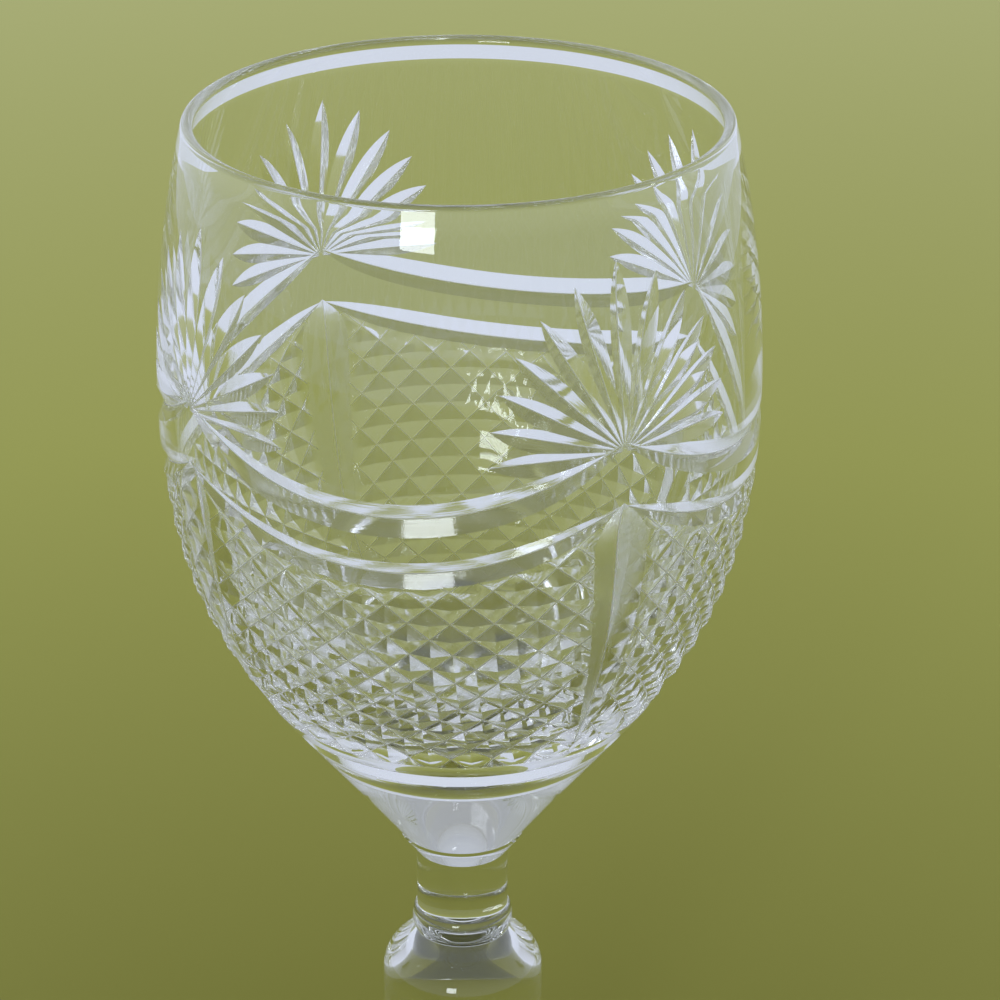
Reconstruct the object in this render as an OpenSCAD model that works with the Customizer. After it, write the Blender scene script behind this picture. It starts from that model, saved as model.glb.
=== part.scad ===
// Cut-glass wine goblet, built up hot from five gathers of glass that stack on one vertical axis:
// bowl, neck, collar, baluster stem and foot. Each is its own solid and meets the next on a flat disc.
// Millimetres, +Z up, origin at the middle of the foot's underside.

/* [Bowl] */
// Height of the bowl from its joint with the neck to the top of the rim
bowl_h = 87.3; // [80:0.1:100]
// Outside diameter at the rim
rim_d = 60; // [54:0.5:66]
// Wall at the rim
rim_wall = 1.4; // [1:0.1:2.4]
// Height of the rounding that fire-polishing leaves on the rim
rim_round = 0.9; // [0.5:0.1:1.6]
// Outside diameter at the widest place, the belly
belly_d = 67.2; // [62:0.2:76]
// Height of the belly above the joint with the neck
belly_h = 56.3; // [50:0.1:64]
// Wall at the belly, thick enough to take the wheel cuts
belly_wall = 1.7; // [1.4:0.1:4]
// How far the belly keeps its width before it turns in towards the cone
belly_fullness = 28.5; // [20:0.1:34]
// Outside diameter of the cone's lower end, where the neck is joined on
bowl_base_d = 14.4; // [11:0.2:17]
// Slope of the plain cone under the cuts, from the vertical
cone_angle = 37.2; // [32:0.2:42]
// How far the cone runs nearly straight
cone_reach = 27.6; // [22:0.2:34]
// Solid glass between the joint and the floor inside
floor_h = 12.9; // [11:0.1:22]
// How far the inside of the belly keeps its width
inside_fullness = 26; // [20:0.5:30]
// How far the floor inside stays level
floor_reach = 19; // [12:0.5:22]

/* [Ring cut] */
// Height of the ring cut's valley above the joint with the neck
ring_h = 16.6; // [14:0.2:22]
// Depth of the ring cut, square to the surface
ring_depth = 0.7; // [0.4:0.1:1.4]
// Angle of the mitre wheel's edge that cuts it
ring_angle = 125; // [90:5:140]

/* [Neck] */
// Height of the neck
neck_h = 10.4; // [6:0.1:12]
// Diameter of the neck
neck_d = 10.7; // [8:0.1:11]
// Height of the straight land under the bowl, as wide as the bowl's base
land_h = 0.4; // [0.2:0.1:1]
// Height of the taper from the land to the neck
taper_h = 2.4; // [1:0.1:4]

/* [Collar] */
// Height of the collar, whose edge bulges out from flat faces of the neck's diameter
collar_h = 3.2; // [2:0.1:4]
// Diameter of the collar
collar_d = 11.8; // [11.4:0.2:15]

/* [Stem] */
// Height of the baluster stem
stem_h = 43.1; // [38:0.1:56]
// Diameter of the baluster's swelling
stem_d = 18.9; // [16:0.1:24]
// Height of the sloping, rounded shoulder
shoulder_h = 5.6; // [3:0.1:8]
// Length of the swelling's nearly straight side
swelling_h = 8; // [4:0.2:14]
// Diameter at the waist above the foot
waist_d = 9; // [8:0.2:12]
// Height of the waist above the foot
waist_h = 8; // [5:0.2:12]
// Diameter where the stem spreads on to the foot
stem_base_d = 14; // [12.4:0.2:18]

/* [Foot] */
// Diameter of the foot
foot_d = 62; // [54:0.5:72]
// Height of the foot at the stem
foot_h = 8; // [6:0.2:12]
// Thickness of the foot's rounded edge
foot_edge = 2.4; // [1.6:0.1:3.2]
// Diameter of the hollow polished where the foot left the rod
pontil_d = 16; // [10:0.5:20]
// Depth of that hollow
pontil_depth = 0.8; // [0.4:0.1:1.2]

/* [Hidden] */
$fn = 128;
curve_steps = 24;

foot_z = 0;
stem_z = foot_z + foot_h;
collar_z = stem_z + stem_h;
neck_z = collar_z + collar_h;
bowl_z = neck_z + neck_h;

rim_r = rim_d / 2;
belly_r = belly_d / 2;
bowl_base_r = bowl_base_d / 2;
neck_r = neck_d / 2;
collar_r = collar_d / 2;
stem_r = stem_d / 2;
waist_r = waist_d / 2;
stem_base_r = stem_base_d / 2;
foot_r = foot_d / 2;
pontil_r = pontil_d / 2;

// Height where both walls end and the rim's rounding begins
wall_top = bowl_h - rim_round;
// Handle lengths of the upper wall, which leans out evenly from the rim to the belly
upper_h = wall_top - belly_h;
rim_lean = 2 * (belly_r - rim_r) / upper_h;
upper_handle = upper_h / 3;

// Point at t along a cubic curve with four control points
function cubic(p, t) =
    pow(1 - t, 3) * p[0] + 3 * t * pow(1 - t, 2) * p[1] + 3 * t * t * (1 - t) * p[2] + pow(t, 3) * p[3];

// Points along a cubic curve, without its last one
function curve(p) = [for (i = [0 : curve_steps - 1]) cubic(p, i / curve_steps)];

// Arc of an ellipse around a centre, from one angle to another, both ends included
function ellipse_arc(centre, across, up, from, to) =
    [for (i = [0 : curve_steps])
        let (a = from + (to - from) * i / curve_steps)
        centre + [across * cos(a), up * sin(a)]];

// Control points of the wall from the belly up to the rim, for a wall of that radius at each
function upper_wall(r_belly, r_rim) = [
    [r_belly, belly_h],
    [r_belly, belly_h + upper_handle],
    [r_rim + rim_lean * upper_handle, wall_top - upper_handle],
    [r_rim, wall_top]];

// The outside runs from the joint up the cone to the belly, and on to the rim
outside_low = [
    [bowl_base_r, 0],
    [bowl_base_r + cone_reach * sin(cone_angle), cone_reach * cos(cone_angle)],
    [belly_r, belly_h - belly_fullness],
    [belly_r, belly_h]];
outside = concat(curve(outside_low), curve(upper_wall(belly_r, rim_r)));

// The inside runs from the middle of the floor up to the belly, and on to the rim
inside_r = belly_r - belly_wall;
inside_low = [[0, floor_h], [floor_reach, floor_h], [inside_r, belly_h - inside_fullness], [inside_r, belly_h]];
inside = concat(curve(inside_low), curve(upper_wall(inside_r, rim_r - rim_wall)));

// Outside radius of the bowl at a height, read along its outline
function outside_r(z) = lookup(z, [for (p = outside) [p[1], p[0]]]);

// Slope of the outside at the ring cut, as the angle of its normal below the horizontal
ring_tilt = atan2(outside_r(ring_h + 1) - outside_r(ring_h - 1), 2);
// The wheel's section reaches this far outside the surface
ring_clear = 1;
ring_half = (ring_depth + ring_clear) * tan(ring_angle / 2);

module ring_cut() {
    rotate_extrude()
        translate([outside_r(ring_h), ring_h])
            rotate(-ring_tilt)
                polygon([[-ring_depth, 0], [ring_clear, -ring_half], [ring_clear, ring_half]]);
}

module bowl() {
    rim = ellipse_arc([rim_r - rim_wall / 2, wall_top], rim_wall / 2, rim_round, 0, 180);
    reversed_inside = [for (i = [len(inside) - 1 : -1 : 0]) inside[i]];
    color([0.90, 0.94, 0.93, 0.55])
        translate([0, 0, bowl_z])
            difference() {
                rotate_extrude()
                    polygon(concat([[0, 0]], outside, rim, reversed_inside));
                ring_cut();
            }
}

module neck() {
    land_z = neck_h - land_h;
    color([0.80, 0.86, 0.84, 0.60])
        translate([0, 0, neck_z])
            rotate_extrude()
                polygon([
                    [0, 0],
                    [neck_r, 0],
                    [neck_r, land_z - taper_h],
                    [bowl_base_r, land_z],
                    [bowl_base_r, neck_h],
                    [0, neck_h]]);
}

module collar() {
    edge = ellipse_arc([neck_r, collar_h / 2], collar_r - neck_r, collar_h / 2, -90, 90);
    color([0.72, 0.78, 0.78, 0.65])
        translate([0, 0, collar_z])
            rotate_extrude()
                polygon(concat([[0, 0]], edge, [[0, collar_h]]));
}

module stem() {
    shoulder_z = stem_h - shoulder_h;
    swelling_z = shoulder_z - swelling_h;
    drawn_h = swelling_z - waist_h;
    spread = [
        [stem_base_r, 0],
        [waist_r + (stem_base_r - waist_r) / 3, waist_h / 8],
        [waist_r, waist_h / 2],
        [waist_r, waist_h]];
    taper = [
        [waist_r, waist_h],
        [waist_r, waist_h + drawn_h / 2],
        [stem_r, swelling_z - drawn_h / 2],
        [stem_r, swelling_z]];
    // The shoulder closes in to a flat top of the neck's diameter, under the collar
    shoulder = [
        [stem_r, shoulder_z],
        [stem_r, stem_h - shoulder_h / 2],
        [(stem_r + neck_r) / 2, stem_h - shoulder_h / 3],
        [neck_r, stem_h]];
    color([0.86, 0.90, 0.88, 0.60])
        translate([0, 0, stem_z])
            rotate_extrude()
                polygon(concat(
                    [[0, 0]],
                    curve(spread),
                    curve(taper),
                    [[stem_r, swelling_z]],
                    curve(shoulder),
                    [[neck_r, stem_h], [0, stem_h]]));
}

module foot() {
    edge_r = foot_edge / 2;
    rim_x = foot_r - edge_r;
    slope = [
        [rim_x, foot_edge],
        [rim_x - (rim_x - stem_base_r) / 2, foot_edge + (foot_h - foot_edge) / 6],
        [stem_base_r + (rim_x - stem_base_r) / 8, foot_edge + (foot_h - foot_edge) / 2],
        [stem_base_r, foot_h]];
    // Radius of the ball that leaves a hollow of that width and depth
    ball_r = (pontil_r * pontil_r + pontil_depth * pontil_depth) / (2 * pontil_depth);
    color([0.90, 0.94, 0.93, 0.55])
        translate([0, 0, foot_z])
            difference() {
                rotate_extrude()
                    union() {
                        polygon(concat([[0, 0], [rim_x, 0]], curve(slope), [[stem_base_r, foot_h], [0, foot_h]]));
                        translate([rim_x, edge_r])
                            circle(d = foot_edge);
                    }
                translate([0, 0, pontil_depth - ball_r])
                    sphere(r = ball_r);
            }
}

foot();
stem();
collar();
neck();
bowl();
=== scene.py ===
# %% [markdown]
# Cut-glass wine goblet.
# The real goblet is clear glass, worked hot in five gathers: a bowl, a neck, a collar, a baluster stem and
# a foot. When it is cold, a mitre wheel cuts fans, swags and small diamonds into the bowl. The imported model
# gives the place and size of every gather. This lesson turns each one again with a smooth skin, cuts the
# pattern into the bowl as real geometry, and gives the glass its finish.

# %% Load the frame
import math
from bisect import bisect_right

import bmesh
import bpy
from mathutils import Matrix, Vector
from mathutils.geometry import interpolate_bezier


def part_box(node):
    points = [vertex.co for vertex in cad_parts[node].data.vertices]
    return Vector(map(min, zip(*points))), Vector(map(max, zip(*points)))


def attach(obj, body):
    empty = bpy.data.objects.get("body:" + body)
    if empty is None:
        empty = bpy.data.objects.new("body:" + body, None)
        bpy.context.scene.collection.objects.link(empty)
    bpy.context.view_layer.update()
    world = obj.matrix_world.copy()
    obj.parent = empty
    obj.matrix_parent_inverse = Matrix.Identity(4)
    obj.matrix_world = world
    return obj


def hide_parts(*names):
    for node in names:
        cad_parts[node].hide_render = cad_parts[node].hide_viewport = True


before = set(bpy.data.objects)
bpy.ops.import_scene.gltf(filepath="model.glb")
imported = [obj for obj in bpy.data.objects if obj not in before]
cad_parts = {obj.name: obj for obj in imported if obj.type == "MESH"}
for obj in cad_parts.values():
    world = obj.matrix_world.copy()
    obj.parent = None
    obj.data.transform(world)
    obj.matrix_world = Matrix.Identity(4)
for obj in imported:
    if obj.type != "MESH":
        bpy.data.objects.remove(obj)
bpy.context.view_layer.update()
MM = 0.001

# %% [markdown]
# Every finish is a small graph of shader nodes.
# These helpers hold what the finishes share: a clear glass to start from, a node with its values, a link, a
# noise laid over the piece, a grade that makes roughness of it, a faint tint that varies the clearness, and
# a bump.

# %% Parts of a finish
GLASS_IOR = 1.54
CLEAR = (1.0, 1.0, 1.0, 1.0)
FAINT_TINT = (0.975, 0.99, 0.985, 1.0)
TINT_DETAIL = 2.0
NOISE_LOW = 0.3
NOISE_HIGH = 0.7


def glass_material(name):
    material = bpy.data.materials.new(name)
    material.use_nodes = True
    shader = material.node_tree.nodes["Principled BSDF"]
    shader.inputs["Transmission Weight"].default_value = 1.0
    shader.inputs["IOR"].default_value = GLASS_IOR
    shader.inputs["Roughness"].default_value = 0.0
    return material, shader


def add_node(material, kind, **values):
    node = material.node_tree.nodes.new(kind)
    for socket, value in values.items():
        node.inputs[socket.replace("_", " ")].default_value = value
    return node


def join(material, source, target):
    material.node_tree.links.new(source, target)


def mapped(material, output, scale):
    place = add_node(material, "ShaderNodeTexCoord")
    mapping = add_node(material, "ShaderNodeMapping", Scale=scale)
    join(material, place.outputs[output], mapping.inputs["Vector"])
    return mapping.outputs["Vector"]


def noise(material, vector, detail):
    texture = add_node(material, "ShaderNodeTexNoise", Scale=1.0, Detail=detail)
    join(material, vector, texture.inputs["Vector"])
    return texture.outputs["Fac"]


def graded(material, value, low, high):
    grade = add_node(material, "ShaderNodeMapRange", From_Min=NOISE_LOW, From_Max=NOISE_HIGH,
                     To_Min=low, To_Max=high)
    join(material, value, grade.inputs["Value"])
    return grade.outputs["Result"]


def tint(material, shader, scale):
    ramp = add_node(material, "ShaderNodeValToRGB")
    ramp.color_ramp.elements[0].color = FAINT_TINT
    ramp.color_ramp.elements[1].color = CLEAR
    join(material, noise(material, mapped(material, "Object", scale), TINT_DETAIL), ramp.inputs["Fac"])
    join(material, ramp.outputs["Color"], shader.inputs["Base Color"])


def bump(material, shader, height, distance, strength):
    relief = add_node(material, "ShaderNodeBump", Distance=distance, Strength=strength)
    join(material, height, relief.inputs["Height"])
    join(material, relief.outputs["Normal"], shader.inputs["Normal"])


print("index of the glass:", GLASS_IOR)

# %% [markdown]
# Polished glass is the fire-finished skin of every piece.
# A bare transmission shader looks like a lens from a catalogue, because blown glass is never that even.
# Faint upright cords, left when the gather was drawn and turned, bend what is seen through it. A stretched
# noise makes them, as a bump far too low to see from the side.

# %% Polished glass
BROAD_CLOUDS = (60.0, 60.0, 25.0)
UPRIGHT_CORDS = (220.0, 220.0, 14.0)
CORD_DETAIL = 1.0

polished_glass, polished_shader = glass_material("polished_glass")
tint(polished_glass, polished_shader, BROAD_CLOUDS)
cords = noise(polished_glass, mapped(polished_glass, "Object", UPRIGHT_CORDS), CORD_DETAIL)
bump(polished_glass, polished_shader, cords, distance=0.1 * MM, strength=0.03)
print("finish:", polished_glass.name)

# %% [markdown]
# Wheel-cut glass is the finish of the mitre facets.
# The stone leaves fine lines along each cut, and polishing with felt and putty powder takes most of them
# away. They follow the cut, so they can't be a pattern in space. Each cutter gets a UV map, named wheel,
# that runs along the cut and out of its valley, and the facets inherit it from the cutter. Noise that is
# stretched along the cut becomes the lines, as bump and as a little roughness. The felt doesn't reach the
# very bottom of a valley, so a hair's breadth there stays dull and draws a thin line. The small diamonds
# take less polish than the long cuts, and the broad leaves between their panels least of all, so each has a
# grade of its own.

# %% Wheel-cut glass
FINE_CLOUDS = (400.0, 400.0, 400.0)
LINES_PER_METRE = 3500.0
LINE_STRETCH = 120.0
LINE_DETAIL = 3.0
AS_MAPPED = (1.0, 1.0, 1.0)
DULL_WIDTH = 0.14 * MM
DULL_ROUGHNESS = 0.45


def cut_glass(name, smooth, rough):
    material, shader = glass_material(name)
    tint(material, shader, FINE_CLOUDS)
    lines = noise(material, mapped(material, "UV", (LINE_STRETCH, LINES_PER_METRE, 1.0)), LINE_DETAIL)
    bump(material, shader, lines, distance=0.03 * MM, strength=0.2)
    out_of_valley = add_node(material, "ShaderNodeSeparateXYZ")
    join(material, mapped(material, "UV", AS_MAPPED), out_of_valley.inputs["Vector"])
    dull = add_node(material, "ShaderNodeMapRange", From_Max=DULL_WIDTH, To_Min=DULL_ROUGHNESS, To_Max=0.0)
    join(material, out_of_valley.outputs["Y"], dull.inputs["Value"])
    roughness = add_node(material, "ShaderNodeMath")
    join(material, graded(material, lines, smooth, rough), roughness.inputs[0])
    join(material, dull.outputs["Result"], roughness.inputs[1])
    join(material, roughness.outputs["Value"], shader.inputs["Roughness"])
    return material


wheel_cut_glass = cut_glass("wheel_cut_glass", smooth=0.02, rough=0.1)
diamond_glass = cut_glass("diamond_glass", smooth=0.05, rough=0.12)
leaf_glass = cut_glass("leaf_glass", smooth=0.08, rough=0.28)
print("finishes:", wheel_cut_glass.name, diamond_glass.name, leaf_glass.name)

# %% [markdown]
# A fused joint is where two gathers ran into one while hot.
# Light passes it as if it weren't there, but two closed meshes that touch would show two skins inside the
# glass. The discs where they touch get a glass of index 1 that is fully see-through, so it neither bends
# light nor holds it back. The pieces stay separate solids and still look like one run of glass.

# %% Fused joints
fused_joint, fused_shader = glass_material("fused_joint")
fused_shader.inputs["IOR"].default_value = 1.0
fused_shader.inputs["Alpha"].default_value = 0.0
tint(fused_joint, fused_shader, BROAD_CLOUDS)
print("finish:", fused_joint.name)

# %% [markdown]
# The underside of the foot is scuffed glass.
# A goblet slides about on its foot for years, so the flat ring that it stands on loses its polish in fine
# scratches. A fine noise makes the scratches as a low bump, and a coarse one makes worn patches in the
# roughness.

# %% Scuffed glass
EVEN_CLOUDS = (90.0, 90.0, 90.0)
SCRATCHES = (2600.0, 900.0, 900.0)
SCRATCH_DETAIL = 6.0
WORN_PATCHES = (180.0, 180.0, 180.0)
PATCH_DETAIL = 4.0

scuffed_glass, scuffed_shader = glass_material("scuffed_glass")
tint(scuffed_glass, scuffed_shader, EVEN_CLOUDS)
scratches = noise(scuffed_glass, mapped(scuffed_glass, "Object", SCRATCHES), SCRATCH_DETAIL)
bump(scuffed_glass, scuffed_shader, scratches, distance=0.05 * MM, strength=0.1)
patches = noise(scuffed_glass, mapped(scuffed_glass, "Object", WORN_PATCHES), PATCH_DETAIL)
worn = graded(scuffed_glass, patches, low=0.0, high=0.16)
join(scuffed_glass, worn, scuffed_shader.inputs["Roughness"])
print("finish:", scuffed_glass.name)

# %% [markdown]
# All six finishes go on every mesh, in one order.
# A face then only carries a number. It is polished, number 0, unless it gets another, and a boolean hands a
# cutter's number on to the facet that it leaves.

# %% Order of the finishes
FINISHES = (polished_glass, wheel_cut_glass, diamond_glass, leaf_glass, fused_joint, scuffed_glass)
WHEEL_CUT, DIAMONDS, LEAVES, FUSED, SCUFFED = range(1, len(FINISHES))
print("finishes in order:", [finish.name for finish in FINISHES])

# %% [markdown]
# The bowl's sizes come first.
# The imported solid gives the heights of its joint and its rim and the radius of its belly. The rest are the
# sizes that the solid was turned from, apart from the rim. That was melted in the flame to smooth it, and
# its inner edge drew up into a bead a little thicker than the wall, so the wall is drawn thinner under it
# here.

# %% Sizes of the bowl


def round_size(node):
    low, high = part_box(node)
    return low.z, high.z, min(-low.x, -low.y, high.x, high.y)


joint_z, rim_z, belly_r = round_size("bowl")
rim_r = 30.0 * MM
rim_wall = 1.15 * MM
rim_round = 0.6 * MM
bead_half = 0.7 * MM
bead_blend = 2.6 * MM
belly_z = joint_z + 56.3 * MM
belly_wall = 1.7 * MM
belly_fullness = 28.5 * MM
bowl_base_r = 7.2 * MM
cone_angle = math.radians(37.2)
cone_reach = 27.6 * MM
floor_z = joint_z + 12.9 * MM
floor_reach = 19.0 * MM
inside_fullness = 26.0 * MM

wall_top = rim_z - rim_round
upper_h = wall_top - belly_z
rim_lean = 2 * (belly_r - rim_r) / upper_h
upper_handle = upper_h / 3
inside_r = belly_r - belly_wall
print("bowl in mm, height and widest radius:", round((rim_z - joint_z) / MM, 2), round(belly_r / MM, 2))

# %% [markdown]
# The bowl's wall is one line turned round the axis.
# The glassblower turns the gather against a wet wooden block, so a turned outline is the true way to draw
# it. The outside rises from the joint up a nearly straight cone, swells to the belly and leans in to the
# rim. The inside follows it with a wall that thins upwards. Four cubic curves hold the walls, a short blend
# leads into the rim's bead, and half an ellipse that leans with the wall closes it. The bead is why a white
# line runs round under the rim at the back.

# %% Outline of the bowl
CONE_STEPS = 57
FLOOR_STEPS = 44
UPPER_STEPS = 40
RIM_STEPS = 24
BLEND_STEPS = 12


def at(radius, height):
    return Vector((radius, 0.0, height))


def upper_wall(r_belly, r_rim):
    lean = r_rim + rim_lean * upper_handle
    low_end = at(r_belly, belly_z), at(r_belly, belly_z + upper_handle)
    return *low_end, at(lean, wall_top - upper_handle), at(r_rim, wall_top)


def arc(centre, across, up, start, end, steps):
    angles = [math.radians(start + (end - start) * step / steps) for step in range(steps + 1)]
    return [centre + at(across * math.cos(angle), up * math.sin(angle)) for angle in angles]


def leaning_rim(outer_edge):
    lean = Matrix.Rotation(-math.atan(rim_lean), 3, "Y")
    # The leaning half ellipse is as tall as it takes to end level with the rim
    drop = bead_half * math.sin(math.atan(rim_lean))
    height = math.sqrt((rim_round + drop) ** 2 - drop ** 2) / math.cos(math.atan(rim_lean))
    half_ellipse = arc(at(-bead_half, 0.0), bead_half, height, 0, 180, RIM_STEPS)
    return [outer_edge + lean @ point for point in half_ellipse]


def to_bead(wall, edge):
    kept = [point for point in wall if point.z < edge.z - bead_blend]
    bend = kept[-1] + (kept[-1] - kept[-2]).normalized() * bead_blend / 2
    handles = kept[-1].lerp(bend, 2 / 3), edge.lerp(bend, 2 / 3)
    blend = interpolate_bezier(kept[-1], *handles, edge, BLEND_STEPS)
    return kept[:-1] + blend[:-1]


cone_end = at(bowl_base_r + cone_reach * math.sin(cone_angle), joint_z + cone_reach * math.cos(cone_angle))
outside_low = (at(bowl_base_r, joint_z), cone_end,
               at(belly_r, belly_z - belly_fullness), at(belly_r, belly_z))
outside_high = upper_wall(belly_r, rim_r)
inside_low = (at(0.0, floor_z), at(floor_reach, floor_z),
              at(inside_r, belly_z - inside_fullness), at(inside_r, belly_z))
inside_high = upper_wall(inside_r, rim_r - rim_wall)

outside = interpolate_bezier(*outside_low, CONE_STEPS)[:-1]
outside += interpolate_bezier(*outside_high, UPPER_STEPS)[:-1]
rim = leaning_rim(at(rim_r, wall_top))
inside = interpolate_bezier(*inside_low, FLOOR_STEPS)[:-1]
inside += to_bead(interpolate_bezier(*inside_high, UPPER_STEPS), rim[-1])
bowl_outline = [at(0.0, joint_z)] + outside + rim + inside[::-1]
print("points on the bowl's outline:", len(bowl_outline))

# %% [markdown]
# Turning is a spin of that outline.
# A screw or lathe modifier could do it as well. The spin operator is chosen because its result is plain
# mesh at once, ready for the cutters. Its ends are merged, the points on the axis collapse to one, and the
# normals are turned outwards. Faces that lie flat at a given level can take a finish of their own, as a
# fused joint does.

# %% Turn an outline
TURN_STEPS = 256
TOUCH = 0.001 * MM
SHARP_ANGLE = math.radians(12)


def spin_round(mesh, points, edges):
    bmesh.ops.spin(mesh, geom=points + edges, cent=(0, 0, 0), axis=(0, 0, 1), dvec=(0, 0, 0),
                   angle=math.tau, steps=TURN_STEPS, use_merge=True, use_duplicate=False)


def turned(outline, level_finishes):
    mesh = bmesh.new()
    points = [mesh.verts.new(point) for point in outline]
    edges = [mesh.edges.new(pair) for pair in zip(points, points[1:])]
    spin_round(mesh, points, edges)
    bmesh.ops.remove_doubles(mesh, verts=mesh.verts, dist=TOUCH)
    bmesh.ops.recalc_face_normals(mesh, faces=mesh.faces)
    for level, finish in level_finishes.items():
        for face in mesh.faces:
            if all(abs(vert.co.z - level) < TOUCH for vert in face.verts):
                face.material_index = finish
    return mesh


def wheel_map(mesh):
    return mesh.loops.layers.uv.get("wheel") or mesh.loops.layers.uv.new("wheel")


def as_object(mesh, name):
    data = bpy.data.meshes.new(name)
    mesh.to_mesh(data)
    mesh.free()
    for finish in FINISHES:
        data.materials.append(finish)
    piece = bpy.data.objects.new(name, data)
    bpy.context.scene.collection.objects.link(piece)
    return piece


def shade(piece):
    for polygon in piece.data.polygons:
        polygon.use_smooth = True
    piece.data.set_sharp_from_angle(angle=SHARP_ANGLE)


bowl_mesh = turned(bowl_outline, {joint_z: FUSED})
wheel_map(bowl_mesh)
bowl = as_object(bowl_mesh, "cut_bowl")
print("bowl blank, faces:", len(bowl.data.polygons))

# %% [markdown]
# The pattern is marked out on the outside of the blank.
# Its measures are turns round the axis and lengths down the wall. To follow them, the same two outside
# curves are sampled finely from the rim down, with the length so far kept beside each point. A place on the
# wall is then a turn from the front, a length down from the rim, and a distance out of the surface. Heights
# read off the goblet are changed to lengths by the same list.

# %% Map of the outside wall
FINE_STEPS = 300

wall_line = interpolate_bezier(*outside_high, FINE_STEPS)[::-1]
wall_line += interpolate_bezier(*outside_low, FINE_STEPS)[-2::-1]
wall_length = [0.0]
for upper, lower in zip(wall_line, wall_line[1:]):
    wall_length.append(wall_length[-1] + (lower - upper).length)
wall_depth = [wall_top - point.z for point in wall_line]


def wall_step(down):
    step = min(max(bisect_right(wall_length, down) - 1, 0), len(wall_line) - 2)
    share = (down - wall_length[step]) / (wall_length[step + 1] - wall_length[step])
    return wall_line[step], wall_line[step + 1], share


def wall_radius(down):
    upper, lower, share = wall_step(down)
    return upper.lerp(lower, share).x


def wall_frame(turn, down):
    upper, lower, share = wall_step(down)
    spot = upper.lerp(lower, share)
    run = (lower - upper).normalized()
    normal = Vector((-run.z, 0.0, run.x))
    swing = Matrix.Rotation(turn - math.pi / 2, 3, "Z")
    return swing @ spot, swing @ normal


def on_wall(turn, down, out):
    spot, normal = wall_frame(turn, down)
    return spot + normal * out


def length_at(depth_below_rim):
    step = bisect_right(wall_depth, depth_below_rim - rim_round) - 1
    return wall_length[step]


print("length of the wall in mm:", round(wall_length[-1] / MM, 2))

# %% [markdown]
# A mitre wheel has a V-shaped edge, and the glass is pressed on it and drawn along.
# The cutter here is that V, carried along a route on the wall: a triangle is extruded station by station,
# with its point below the surface and its two corners just above it. Where the point rises out of the
# glass, the cut runs out in the slender tip that a real wheel leaves. A boolean then takes the cutter out
# of the blank.

# %% The mitre wheel
LIFT = 0.35 * MM
GRAZE = 0.02 * MM


def wheel_section(station, side, depth, half_angle):
    spot, normal = station
    reach = (depth + LIFT) * math.tan(half_angle)
    crest = spot + normal * LIFT
    return spot - normal * depth, crest - side * reach, crest + side * reach


def mitre(cutter, route, depths, half_angle, finish=WHEEL_CUT):
    stations = [wall_frame(turn, down) for turn, down in route]
    last = len(stations) - 1
    uv = wheel_map(cutter)
    marks = {}
    travelled = 0.0
    face = None
    for index, station in enumerate(stations):
        ahead = stations[min(index + 1, last)][0]
        behind = stations[max(index - 1, 0)][0]
        side = station[1].cross(ahead - behind).normalized()
        section = wheel_section(station, side, depths[index] - GRAZE, half_angle)
        if face is None:
            face = cutter.faces.new([cutter.verts.new(point) for point in section])
        else:
            travelled += (station[0] - stations[index - 1][0]).length
            grown = bmesh.ops.extrude_face_region(cutter, geom=[face])["geom"]
            # The end of the last step now lies inside the cutter; the very first one closes it
            if index > 1:
                cutter.faces.remove(face)
            face = next(part for part in grown if isinstance(part, bmesh.types.BMFace))
            for vert, point in zip(face.verts, section):
                vert.co = point
        for vert, point in zip(face.verts, section):
            marks[vert] = (travelled, (point - section[0]).length)
    made = {part for vert in marks if vert.is_valid for part in vert.link_faces}
    for part in made:
        part.material_index = finish
        for loop in part.loops:
            loop[uv].uv = marks[loop.vert]
    bmesh.ops.recalc_face_normals(cutter, faces=list(made))


def shares(count):
    return [index / count for index in range(count + 1)]


cutters = []


def keep_cutter(mesh, name):
    cutters.append(as_object(mesh, name))


print("the wheel's corners stand off the wall by mm:", round(LIFT / MM, 2))

# %% [markdown]
# Four fans stand round the bowl, a quarter turn apart.
# Each has thirteen petals that spring from one point, like the rays of a half sun. The middle petal is the
# longest, and the others shorten quickly to both sides. A petal is one dip of the wheel: it deepens from
# the root, is deepest and widest past the middle, and runs out to a point. Petals that cross can't share
# one cutter mesh, so each cutter holds the same petal of all four fans.

# %% Fans
QUARTERS = range(4)
QUARTER = math.tau / 4
fan_turn = math.radians(30.6)
fan_down = length_at(27.2 * MM)
fan_half_width = 15.2 * MM
fan_height = 20.6 * MM
petals_each_side = 6
petal_depth = 0.72 * MM
petal_widest = 0.63
petal_half_angle = math.radians(62)
petal_shares = shares(16)


def petal_cut(share):
    # Nothing at the root, the full depth at the widest place, and nothing again at the tip
    place = share / petal_widest
    return petal_depth * place * (4 - place ** 3) / 3


def petal_route(turn, lean):
    length = fan_half_width + (fan_height - fan_half_width) * (1 - abs(math.sin(lean)))
    steps = []
    for share in petal_shares:
        across = length * math.sin(lean) * share
        down = fan_down - length * math.cos(lean) * share
        steps.append((turn + across / wall_radius(down), down))
    return steps


petal_depths = [petal_cut(share) for share in petal_shares]
for petal in range(-petals_each_side, petals_each_side + 1):
    petal_cutter = bmesh.new()
    lean = math.radians(90 * petal / petals_each_side)
    for quarter in QUARTERS:
        route = petal_route(fan_turn + quarter * QUARTER, lean)
        mitre(petal_cutter, route, petal_depths, petal_half_angle)
    keep_cutter(petal_cutter, f"petal_cutter_{petal + petals_each_side}")
print("petals cut:", len(cutters) * len(QUARTERS))

# %% [markdown]
# Two swags hang between each pair of fans, like a double garland.
# The upper one runs from the root of a fan to the next root. The lower one hangs a little further down and
# is the top border of the diamonds. Both are single long mitres that sink in slowly, so their depth follows
# a flat-topped curve and dies away at the ends. Swags that meet at a fan go into different cutters, two
# quarters at a time.

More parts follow.
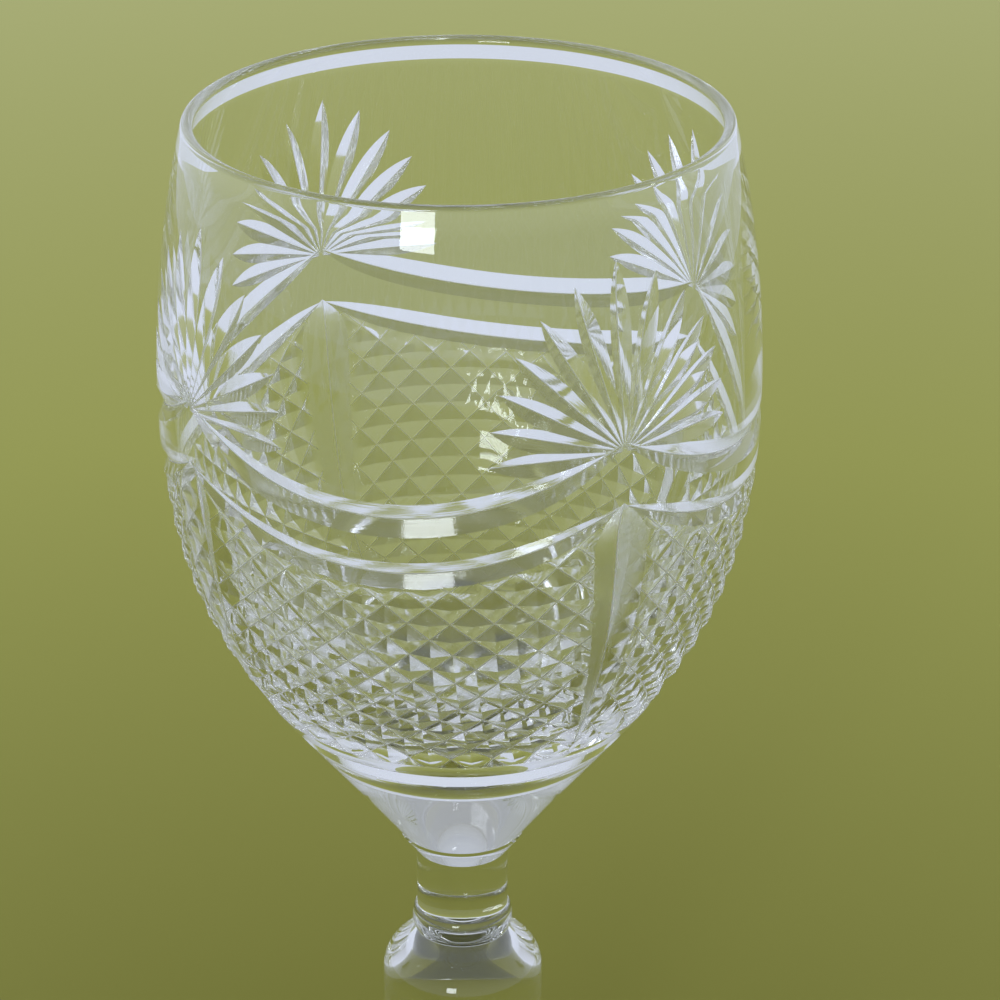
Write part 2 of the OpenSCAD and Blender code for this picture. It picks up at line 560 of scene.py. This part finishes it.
# %% Swags
swag_fullness = 5
upper_swag_angle = math.radians(68.5)
upper_swag_end = length_at(26.3 * MM)
upper_swag_mid = length_at(33.3 * MM)
upper_swag_depth = 0.79 * MM
lower_swag_end = length_at(33.5 * MM)
lower_swag_mid = length_at(39.8 * MM)
lower_swag_depth = 0.74 * MM
lower_swag_angle = math.radians(66.5)
swag_reaches = [2 * share - 1 for share in shares(64)]


def swag_down(end, middle, reach):
    return middle + (end - middle) * reach ** 2


def swag_cut(depth, reach):
    return depth * (1 - abs(reach) ** swag_fullness)


def swag(cutter, turn, end, middle, depth, half_angle):
    route = [(turn + reach * QUARTER / 2, swag_down(end, middle, reach)) for reach in swag_reaches]
    mitre(cutter, route, [swag_cut(depth, reach) for reach in swag_reaches], half_angle)


def panel_turn(quarter):
    return fan_turn + (quarter - 0.5) * QUARTER


for pair in range(2):
    swag_cutter = bmesh.new()
    for quarter in (pair, pair + 2):
        turn = panel_turn(quarter)
        swag(swag_cutter, turn, upper_swag_end, upper_swag_mid, upper_swag_depth, upper_swag_angle)
        swag(swag_cutter, turn, lower_swag_end, lower_swag_mid, lower_swag_depth, lower_swag_angle)
    keep_cutter(swag_cutter, f"swag_cutter_{pair}")
print("swags cut:", 2 * len(QUARTERS))

# %% [markdown]
# A long leaf drops from each point where two lower swags meet, and divides the diamonds into four panels.
# It is the widest and flattest mitre on the bowl. It opens fast under the point, is soon at its widest, and
# narrows slowly towards the foot of the bowl.

# %% Dividers
divider_top = length_at(33.2 * MM)
divider_bottom = length_at(66.0 * MM)
divider_length = divider_bottom - divider_top
divider_depth = 1.08 * MM
divider_widest = 0.15
divider_taper = 1.6
divider_half_angle = math.radians(75)
divider_shares = shares(32)


def divider_cut(share):
    if share < divider_widest:
        return divider_depth * (1 - (1 - share / divider_widest) ** 2)
    return divider_depth * (1 - ((share - divider_widest) / (1 - divider_widest)) ** divider_taper)


divider_depths = [divider_cut(share) for share in divider_shares]
divider_cutter = bmesh.new()
for quarter in QUARTERS:
    turn = fan_turn + quarter * QUARTER
    route = [(turn, divider_top + divider_length * share) for share in divider_shares]
    mitre(divider_cutter, route, divider_depths, divider_half_angle, LEAVES)
keep_cutter(divider_cutter, "divider_cutter")
print("dividers cut:", len(QUARTERS))

# %% [markdown]
# Under the lower swags the wall is covered with small diamonds.
# The wheel goes over a panel in two sets of parallel grooves that slant both ways, and what is left between
# them is a field of pointed pyramids. Hundreds of grooves would mean hundreds of booleans, so the whole
# field is made flat at once: a grid is turned by an eighth, stretched to the diamonds' proportions, and
# every cell is poked up to a point. It becomes a slab, is trimmed to the panel's outline, and is then laid
# on the wall four times.

# %% Field of diamonds
diamond_w = 4.68 * MM
diamond_h = 4.2 * MM
diamond_depth = 0.5 * MM
diamond_tip = 0.04 * MM
diamond_row = 47.5 * MM
field_cells = 24
slab_h = 1.6 * MM


def thicken(sheet, rise):
    grown = bmesh.ops.extrude_face_region(sheet, geom=sheet.faces[:])["geom"]
    lifted = [part for part in grown if isinstance(part, bmesh.types.BMVert)]
    bmesh.ops.translate(sheet, verts=lifted, vec=(0, 0, rise))
    bmesh.ops.recalc_face_normals(sheet, faces=sheet.faces)


field = bmesh.new()
bmesh.ops.create_grid(field, x_segments=field_cells, y_segments=field_cells, size=field_cells / 2)
eighth_turn = Matrix.Rotation(math.tau / 8, 4, "Z")
stretch = Matrix.Diagonal((diamond_w / math.sqrt(2), diamond_h / math.sqrt(2), 1.0, 1.0))
field_place = Matrix.Translation((0.0, -diamond_row, -diamond_depth))
bmesh.ops.transform(field, verts=field.verts, matrix=field_place @ stretch @ eighth_turn)
tips = set(bmesh.ops.poke(field, faces=field.faces[:])["verts"])
bmesh.ops.translate(field, verts=list(tips), vec=(0.0, 0.0, diamond_depth - diamond_tip))
facet_h = diamond_w * diamond_h / (2 * math.hypot(diamond_w, diamond_h))

uv = wheel_map(field)
field.normal_update()
for face in field.faces:
    face.material_index = DIAMONDS
    fall = Vector((face.normal.x, face.normal.y)).normalized()
    for loop in face.loops:
        loop[uv].uv = (fall.cross(loop.vert.co.xy), facet_h if loop.vert in tips else 0.0)
thicken(field, slab_h)
diamond_field = as_object(field, "diamond_field")
print("diamonds in the flat field:", len(tips))

# %% [markdown]
# The panel's outline makes every groove end in another cut.
# It follows the valley of the lower swag on top, the valleys of the dividers at the sides and a level line
# at the bottom. In the flat, its sides draw together as the bowl narrows. It is one face, extruded to a
# prism, and the field is trimmed by it with a boolean that keeps what both share.

# %% Panel outline
panel_bottom = length_at(67.7 * MM)
prism_half = 6.0 * MM
top_reaches = [1 - 2 * share for share in shares(48)]
side_downs = [lower_swag_end + (panel_bottom - lower_swag_end) * share for share in shares(24)[1:]]


def carve(piece, tools, operation):
    for tool in tools:
        step = piece.modifiers.new(tool.name, "BOOLEAN")
        step.operation = operation
        step.solver = "MANIFOLD"
        step.object = tool
    carved = piece.evaluated_get(bpy.context.evaluated_depsgraph_get())
    result = bpy.data.meshes.new_from_object(carved)
    piece.modifiers.clear()
    piece.data = result
    for tool in tools:
        bpy.data.objects.remove(tool)


def flat_edge(reach, down):
    return Vector((reach * QUARTER / 2 * wall_radius(down), -down, -prism_half))


top_edge = [flat_edge(reach, swag_down(lower_swag_end, lower_swag_mid, reach)) for reach in top_reaches]
left_edge = [flat_edge(-1, down) for down in side_downs]
right_edge = [flat_edge(1, down) for down in reversed(side_downs)]
prism = bmesh.new()
prism.faces.new([prism.verts.new(point) for point in top_edge + left_edge + right_edge])
wheel_map(prism)
thicken(prism, 2 * prism_half)
for face in prism.faces:
    face.material_index = DIAMONDS
carve(diamond_field, [as_object(prism, "panel_prism")], "INTERSECT")
print("faces of one trimmed panel:", len(diamond_field.data.polygons))

# %% [markdown]
# Where the grooves come to a swag or a divider, the wheel lifts out of the glass.
# The facets of those cuts stay clean, and the diamonds end in a zigzag beside them. A groove therefore
# keeps next to nothing of its depth over such a facet, and all of it a short run-out further on. Diamonds
# are too coarse to follow that, so the edges near the outline are divided first.

# %% Run out the grooves
run_out = 1.4 * MM
edge_share = 0.06
edge_cuts = 3


def opening_half(depth, half_angle, radius):
    # Half the width that a mitre opens on a round wall, which falls away to both sides of it
    slope = 1 / math.tan(half_angle)
    return radius * (math.sqrt(slope ** 2 + 2 * max(depth, 0.0) / radius) - slope)


def groove_share(across, down):
    radius = wall_radius(down)
    half_panel = radius * QUARTER / 2
    reach = min(abs(across) / half_panel, 1.0)
    leaf_share = min(max((down - divider_top) / divider_length, 0.0), 1.0)
    leaf_half = opening_half(divider_cut(leaf_share), divider_half_angle, radius)
    swag_half = swag_cut(lower_swag_depth, reach) * math.tan(lower_swag_angle)
    from_swag = down - swag_down(lower_swag_end, lower_swag_mid, reach) - swag_half
    inset = max(min(from_swag, (1 - reach) * half_panel - leaf_half, panel_bottom - down), 0.0)
    return min(edge_share + (1 - edge_share) * inset / run_out, 1.0)


def runs_out(edge):
    in_groove = all(vert.co.z < 0 for vert in edge.verts)
    return in_groove and any(groove_share(vert.co.x, -vert.co.y) < 1 for vert in edge.verts)


field = bmesh.new()
field.from_mesh(diamond_field.data)
near_edge = [edge for edge in field.edges if runs_out(edge)]
bmesh.ops.subdivide_edges(field, edges=near_edge, cuts=edge_cuts, use_grid_fill=True)
for vert in field.verts:
    if vert.co.z < 0:
        vert.co.z *= groove_share(vert.co.x, -vert.co.y)
field.to_mesh(diamond_field.data)
field.free()
print("edges divided for the run-out:", len(near_edge))

# %% [markdown]
# The trimmed field is laid on the wall at each quarter.
# Every point keeps its distance out of the surface, its length down the wall becomes its length on the
# bowl, and its width becomes a turn.

# %% Lay the panels on the wall
panels = bmesh.new()
for quarter in QUARTERS:
    laid = len(panels.verts)
    panels.from_mesh(diamond_field.data)
    panels.verts.ensure_lookup_table()
    for vert in panels.verts[laid:]:
        across, up, out = vert.co
        vert.co = on_wall(panel_turn(quarter) + across / wall_radius(-up), -up, out)
bpy.data.objects.remove(diamond_field)
keep_cutter(panels, "panel_cutter")
print("panels laid:", len(QUARTERS))

# %% [markdown]
# One ring is cut right round the bowl under the panels.
# It is the only cut that is round by itself, so the wheel's triangle is spun about the axis instead of
# being carried along a route.

# %% Ring cut
ring_z = joint_z + 16.6 * MM
ring_depth = 0.7 * MM
ring_half_angle = math.radians(62.5)

ring_down = length_at(rim_z - ring_z)
ring_spot, ring_normal = wall_frame(math.pi / 2, ring_down)
ring_side = Vector((ring_normal.z, 0.0, -ring_normal.x))
ring = bmesh.new()
section = wheel_section((ring_spot, ring_normal), ring_side, ring_depth, ring_half_angle)
valley = section[0]
corners = [ring.verts.new(point) for point in section]
sides = [ring.edges.new((corners[index - 1], corners[index])) for index in range(3)]
spin_round(ring, corners, sides)
bmesh.ops.recalc_face_normals(ring, faces=ring.faces)
uv = wheel_map(ring)
for face in ring.faces:
    face.material_index = WHEEL_CUT
    middle = face.calc_center_median()
    for loop in face.loops:
        spot = loop.vert.co
        turn = math.atan2(middle.cross(spot).z, middle.dot(spot))
        loop[uv].uv = (turn * ring_spot.x, math.hypot(spot.xy.length - valley.x, spot.z - valley.z))
keep_cutter(ring, "ring_cutter")
print("ring cut at z in mm:", round(ring_z / MM, 2))

# %% [markdown]
# Now the blank goes to the wheel.
# All cutters are taken out of the bowl one after another in a single evaluated stack, the result becomes
# the bowl's own mesh, and the cutters are thrown away. Smooth shading keeps the wall round, and edges that
# turn by more than a few degrees stay crisp.

# %% Cut the bowl
carve(bowl, cutters, "DIFFERENCE")
shade(bowl)
print("cut bowl, faces:", len(bowl.data.polygons), "finishes:", [slot.name for slot in bowl.data.materials])

# %% [markdown]
# The neck is a short rod of glass under the bowl.
# Its upper end is as wide as the bowl's base for a hair's breadth, and then tapers quickly to the rod. The
# taper bends light upwards, so it shows as a white ring between the bowl and the neck. It isn't cut, so it
# is turned and shaded in one go, as are the pieces below it.

# %% Neck


def turned_piece(outline, name, level_finishes):
    piece = as_object(turned(outline, level_finishes), name)
    shade(piece)
    return piece


neck_bottom = round_size("neck")[0]
neck_r = 5.35 * MM
land_z = joint_z - 0.4 * MM
taper_z = land_z - 2.4 * MM
neck_rod = [at(0.0, neck_bottom), at(neck_r, neck_bottom), at(neck_r, taper_z)]
neck_head = [at(bowl_base_r, land_z), at(bowl_base_r, joint_z), at(0.0, joint_z)]
neck = turned_piece(neck_rod + neck_head, "drawn_neck", {neck_bottom: FUSED, joint_z: FUSED})
print("neck, faces:", len(neck.data.polygons))

# %% [markdown]
# The collar is a bead of glass laid round the joint of neck and stem.
# A ring of round section would hide half of itself inside them. As on the solid, it is a disc with a
# bulging edge, drawn as half an ellipse between two flat faces.

# %% Collar
COLLAR_STEPS = 24
collar_bottom, collar_top, collar_r = round_size("collar")
collar_half = (collar_top - collar_bottom) / 2
collar_middle = at(neck_r, collar_bottom + collar_half)
collar_edge = arc(collar_middle, collar_r - neck_r, collar_half, -90, 90, COLLAR_STEPS)
collar_line = [at(0.0, collar_bottom)] + collar_edge + [at(0.0, collar_top)]
collar = turned_piece(collar_line, "bead_collar", {collar_bottom: FUSED, collar_top: FUSED})
print("collar, faces:", len(collar.data.polygons))

# %% [markdown]
# The stem is an inverted baluster, swollen under its shoulder and drawn to a waist above the foot.
# Its outline is three cubic curves and a nearly straight side, turned like the others.

# %% Stem
SPREAD_STEPS = 24
TAPER_STEPS = 40
SHOULDER_STEPS = 32
stem_bottom, stem_top, stem_r = round_size("stem")
shoulder_h = 5.6 * MM
swelling_h = 8.0 * MM
waist_r = 4.5 * MM
waist_h = 8.0 * MM
stem_base_r = 7.0 * MM

waist_z = stem_bottom + waist_h
shoulder_z = stem_top - shoulder_h
swelling_z = shoulder_z - swelling_h
drawn_h = swelling_z - waist_z
spread_r = waist_r + (stem_base_r - waist_r) / 3
spread = (at(stem_base_r, stem_bottom), at(spread_r, stem_bottom + waist_h / 8),
          at(waist_r, stem_bottom + waist_h / 2), at(waist_r, waist_z))
taper = (at(waist_r, waist_z), at(waist_r, waist_z + drawn_h / 2),
         at(stem_r, swelling_z - drawn_h / 2), at(stem_r, swelling_z))
shoulder = (at(stem_r, shoulder_z), at(stem_r, stem_top - shoulder_h / 2),
            at((stem_r + neck_r) / 2, stem_top - shoulder_h / 3), at(neck_r, stem_top))
stem_line = [at(0.0, stem_bottom)] + interpolate_bezier(*spread, SPREAD_STEPS)[:-1]
stem_line += interpolate_bezier(*taper, TAPER_STEPS)
stem_line += interpolate_bezier(*shoulder, SHOULDER_STEPS) + [at(0.0, stem_top)]
stem = turned_piece(stem_line, "baluster_stem", {stem_bottom: FUSED, stem_top: FUSED})
print("stem, faces:", len(stem.data.polygons))

# %% [markdown]
# The foot is a disc that thickens towards the stem, with a fire-rounded edge.
# Underneath, the mark where it was snapped off the iron rod is ground away to a shallow round hollow. The
# flat ring round the hollow is what it stands on, and it gets the scuffed finish.

# %% Foot
HOLLOW_STEPS = 16
EDGE_STEPS = 20
SLOPE_STEPS = 48
foot_bottom, foot_top, foot_r = round_size("foot")
foot_edge = 2.4 * MM
pontil_r = 8.0 * MM
pontil_depth = 0.8 * MM

edge_r = foot_edge / 2
edge_x = foot_r - edge_r
foot_rise = foot_top - foot_edge
foot_run = edge_x - stem_base_r
slope = (at(edge_x, foot_edge), at(edge_x - foot_run / 2, foot_edge + foot_rise / 6),
         at(stem_base_r + foot_run / 8, foot_edge + foot_rise / 2), at(stem_base_r, foot_top))
ball_r = (pontil_r ** 2 + pontil_depth ** 2) / (2 * pontil_depth)
hollow_angle = math.degrees(math.asin(pontil_r / ball_r))
hollow = arc(at(0.0, pontil_depth - ball_r), ball_r, ball_r, 90, 90 - hollow_angle, HOLLOW_STEPS)
foot_rim = arc(at(edge_x, edge_r), edge_r, edge_r, -90, 90, EDGE_STEPS)
foot_line = hollow + foot_rim[:-1] + interpolate_bezier(*slope, SLOPE_STEPS) + [at(0.0, foot_top)]
foot = turned_piece(foot_line, "spread_foot", {foot_top: FUSED, foot_bottom: SCUFFED})
print("foot, faces:", len(foot.data.polygons))

# %% [markdown]
# Each piece takes the place of its solid and moves with the one body that the goblet is.

# %% Seat the pieces
PIECES = {"bowl": bowl, "neck": neck, "collar": collar, "stem": stem, "foot": foot}
for node, piece in PIECES.items():
    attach(piece, "root")
    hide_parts(node)
print("seated:", sorted(piece.name for piece in PIECES.values()))

# %% [markdown]
# Clear glass shows nothing of its own, only what is round it, so the setting is half of the material.
# A sage floor fills the lower half of every refraction, and a pale surround fills the upper half. The upper
# facet of a cut then looks white and the lower one takes the floor's colour, which is what makes the
# pattern readable. The floor is dull, so that it mirrors nothing. Its colour is painted darker towards the
# middle, as painted shade round the goblet, and grows paler with distance.

# %% Floor
FLOOR_R = 0.6
FLOOR_DROP = 0.3 * MM
FLOOR_SIDES = 128
FLOOR_FAR = (0.44, 0.46, 0.20, 1.0)
# The between and near colours are painted shade, darkest where the goblet stands
FLOOR_PAINTED_HALF_SHADE = (0.33, 0.345, 0.10, 1.0)
FLOOR_PAINTED_SHADE = (0.15, 0.15, 0.03, 1.0)

floor_mesh = bmesh.new()
bmesh.ops.create_circle(floor_mesh, cap_ends=True, segments=FLOOR_SIDES, radius=FLOOR_R,
                        matrix=Matrix.Translation((0.0, 0.0, -FLOOR_DROP)))
floor = as_object(floor_mesh, "floor")
floor_paint = bpy.data.materials.new("floor_paint")
floor_paint.use_nodes = True
floor_shader = floor_paint.node_tree.nodes["Principled BSDF"]
floor_shader.inputs["Roughness"].default_value = 0.9
floor_shader.inputs["Specular IOR Level"].default_value = 0.0
floor.data.materials.clear()
floor.data.materials.append(floor_paint)

# A radial ramp from the middle paints that shade on the floor, darkest under the goblet
painted_shade_sweep = add_node(floor_paint, "ShaderNodeTexGradient")
painted_shade_sweep.gradient_type = "SPHERICAL"
painted_shade_ramp = add_node(floor_paint, "ShaderNodeValToRGB")
painted_shade_ramp.color_ramp.elements[0].color = FLOOR_FAR
painted_shade_ramp.color_ramp.elements[1].color = FLOOR_PAINTED_SHADE
painted_shade_ramp.color_ramp.elements.new(0.55).color = FLOOR_PAINTED_HALF_SHADE
join(floor_paint, mapped(floor_paint, "Object", (1 / FLOOR_R, 1 / FLOOR_R, 1.0)), painted_shade_sweep.inputs["Vector"])
join(floor_paint, painted_shade_sweep.outputs["Fac"], painted_shade_ramp.inputs["Fac"])
join(floor_paint, painted_shade_ramp.outputs["Color"], floor_shader.inputs["Base Color"])
print("floor, radius in m:", FLOOR_R)

# %% [markdown]
# The surround has two sides.
# What the glass shows is a pale band that grows greyer overhead, as a ceiling does. What falls from it on
# the floor is one even light. The kind of ray chooses between them, so each can be set without the other.

# %% Surround
EVEN_LIGHT = (0.96, 0.98, 1.0, 1.0)
PALE_BAND = (0.68, 0.73, 0.86, 1.0)
BAND_TOP = 0.3
OVERHEAD = (0.42, 0.44, 0.47, 1.0)

world = bpy.data.worlds.new("surround")
world.use_nodes = True
plain_light = world.node_tree.nodes["Background"]
plain_light.inputs["Color"].default_value = EVEN_LIGHT
plain_light.inputs["Strength"].default_value = 0.9

direction = add_node(world, "ShaderNodeTexCoord")
height = add_node(world, "ShaderNodeSeparateXYZ")
sky_ramp = add_node(world, "ShaderNodeValToRGB")
sky_ramp.color_ramp.elements[0].position = BAND_TOP
sky_ramp.color_ramp.elements[0].color = PALE_BAND
sky_ramp.color_ramp.elements[1].color = OVERHEAD
seen = add_node(world, "ShaderNodeBackground", Strength=1.0)
join(world, direction.outputs["Generated"], height.inputs["Vector"])
join(world, height.outputs["Z"], sky_ramp.inputs["Fac"])
join(world, sky_ramp.outputs["Color"], seen.inputs["Color"])

ray_kind = add_node(world, "ShaderNodeLightPath")
camera_or_glossy = add_node(world, "ShaderNodeMath")
or_transmission = add_node(world, "ShaderNodeMath")
backdrop = add_node(world, "ShaderNodeMixShader")
join(world, ray_kind.outputs["Is Camera Ray"], camera_or_glossy.inputs[0])
join(world, ray_kind.outputs["Is Glossy Ray"], camera_or_glossy.inputs[1])
join(world, camera_or_glossy.outputs["Value"], or_transmission.inputs[0])
join(world, ray_kind.outputs["Is Transmission Ray"], or_transmission.inputs[1])
join(world, or_transmission.outputs["Value"], backdrop.inputs["Fac"])
join(world, plain_light.outputs["Background"], backdrop.inputs[1])
join(world, seen.outputs["Background"], backdrop.inputs[2])
join(world, backdrop.outputs["Shader"], world.node_tree.nodes["World Output"].inputs["Surface"])
bpy.context.scene.world = world
print("surround:", world.name)

# %% [markdown]
# One soft box stands in front on the left, low enough that the round of the bowl mirrors it near the rim.

# %% Soft box
softbox_data = bpy.data.lights.new("soft_box", "AREA")
softbox_data.shape = "RECTANGLE"
softbox_data.size = 0.33
softbox_data.size_y = 0.43
softbox_data.energy = 5.5
softbox_data.color = (0.86, 0.93, 1.0)
softbox = bpy.data.objects.new("soft_box", softbox_data)
bpy.context.scene.collection.objects.link(softbox)
softbox.location = (-0.385, -1.35, 0.425)
softbox_aim = Vector((0.0, 0.0, 0.12))
softbox.rotation_euler = (softbox_aim - softbox.location).to_track_quat("-Z", "Y").to_euler()
print("soft box, power in W:", softbox_data.energy)

# %% [markdown]
# The camera stands where the photograph was taken, above the rim and looking down into the bowl.
# Light that is caught in the wall is thrown to and fro dozens of times before it gets out. Paths that end
# sooner would leave the petals black, so they are followed for many bounces.

# %% Camera
look_down = 24.18
look_right = 0.69
LIGHT_BOUNCES = 96

camera_data = bpy.data.cameras.new("camera")
camera_data.sensor_width = 36.0
camera_data.lens = 129.6
camera = bpy.data.objects.new("camera", camera_data)
bpy.context.scene.collection.objects.link(camera)
camera.location = (0.0, -0.371, 0.273)
camera.rotation_euler = (math.radians(90 - look_down), 0.0, math.radians(-look_right))

scene = bpy.context.scene
scene.camera = camera
scene.view_settings.view_transform = "Standard"
scene.cycles.max_bounces = LIGHT_BOUNCES
scene.cycles.transmission_bounces = LIGHT_BOUNCES
scene.cycles.glossy_bounces = LIGHT_BOUNCES
print("camera, lens in mm:", camera_data.lens)
